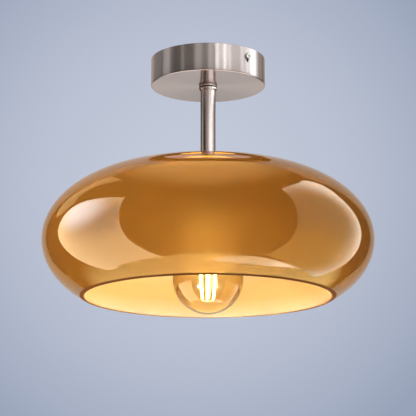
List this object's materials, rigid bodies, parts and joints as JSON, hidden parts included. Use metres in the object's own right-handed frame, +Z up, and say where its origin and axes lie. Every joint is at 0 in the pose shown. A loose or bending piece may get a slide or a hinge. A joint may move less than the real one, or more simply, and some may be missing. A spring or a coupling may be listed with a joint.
{
  "type": "semi flush ceiling light",
  "caption": "Ceiling light with a round brushed nickel canopy, a short stem and a wide amber blown glass shade open below, round a glowing globe bulb that unscrews.",
  "frame": {"origin": "on the ceiling plane at the lamp's axis, at the centre of the two slots of the ceiling bracket", "axes": "+Z up, out of the lamp into the ceiling; X along the bracket strap and through the two side screws"},
  "size_m": [0.3776, 0.3774, 0.2988],
  "materials": {
    "canopy_nickel": "satin brushed nickel, radial on the underside",
    "stem_nickel": "satin brushed nickel, along the stem",
    "screw_chrome": "polished",
    "zinc_steel": "zinc plated, satin",
    "brass": "satin",
    "block_white": "satin moulded",
    "holder_black": "moulded, semi gloss",
    "steatite": "satin glaze",
    "gasket_clear": "matt silicone",
    "amber_glass": "glossy amber outside over a cream inner layer",
    "bulb_glass": "clear amber tint, glossy",
    "mount_glass": "clear, glossy",
    "cap_metal": "bright, rolled",
    "insulator_black": "glossy",
    "driver_board": "matt",
    "filament_glow": "glowing coating",
    "support_wire": "bright wire",
    "lead_brown": "satin insulation",
    "lead_blue": "satin insulation",
    "lead_green": "satin insulation"
  },
  "bodies": {
    "fixture": {"canopy_cup": "canopy_nickel", "stem_tube": "stem_nickel", "stem_collar": "stem_nickel", "holder_cap": "stem_nickel", "canopy_screws": "screw_chrome", "ceiling_bracket": "zinc_steel", "upper_lock_nut": "zinc_steel", "upper_washer": "zinc_steel", "upper_nipple": "zinc_steel", "stem_upper_bush": "zinc_steel", "stem_lower_bush": "zinc_steel", "lower_nipple": "zinc_steel", "lower_lock_nut": "zinc_steel", "earth_lug": "zinc_steel", "terminal_screws": "zinc_steel", "holder_terminal_screws": "zinc_steel", "terminal_clamps": "brass", "earth_screw": "brass", "holder_terminals": "brass", "centre_contact": "brass", "side_contact": "brass", "holder_shell": "brass", "terminal_block": "block_white", "holder_body": "holder_black", "shade_ring": "holder_black", "contact_block": "steatite", "upper_gasket": "gasket_clear", "lower_gasket": "gasket_clear", "glass_shade": "amber_glass", "live_lead": "lead_brown", "neutral_lead": "lead_blue", "earth_lead": "lead_green"},
    "bulb_tip_body": {"bulb_tip": "cap_metal"},
    "bulb": {"bulb_insulator": "insulator_black", "bulb_cap": "cap_metal", "bulb_driver": "driver_board", "bulb_globe": "bulb_glass", "filament_mount": "mount_glass", "filaments": "filament_glow", "filament_supports": "support_wire"}
  },
  "joints": [
    {"name": "bulb_travel", "type": "slide", "parent": "fixture", "child": "bulb_tip_body", "axis": [0, 0, -1], "range_m": [0, 0.0146]},
    {"name": "bulb_turn", "type": "hinge", "parent": "bulb_tip_body", "child": "bulb", "pos_m": [0, 0, -0.2], "axis": [0, 0, -1], "range_deg": [0, 1440]}
  ],
  "couplings": [
    {"joint": "bulb_travel", "follows": "bulb_turn", "m_per_rad": 0.00057757}
  ]
}
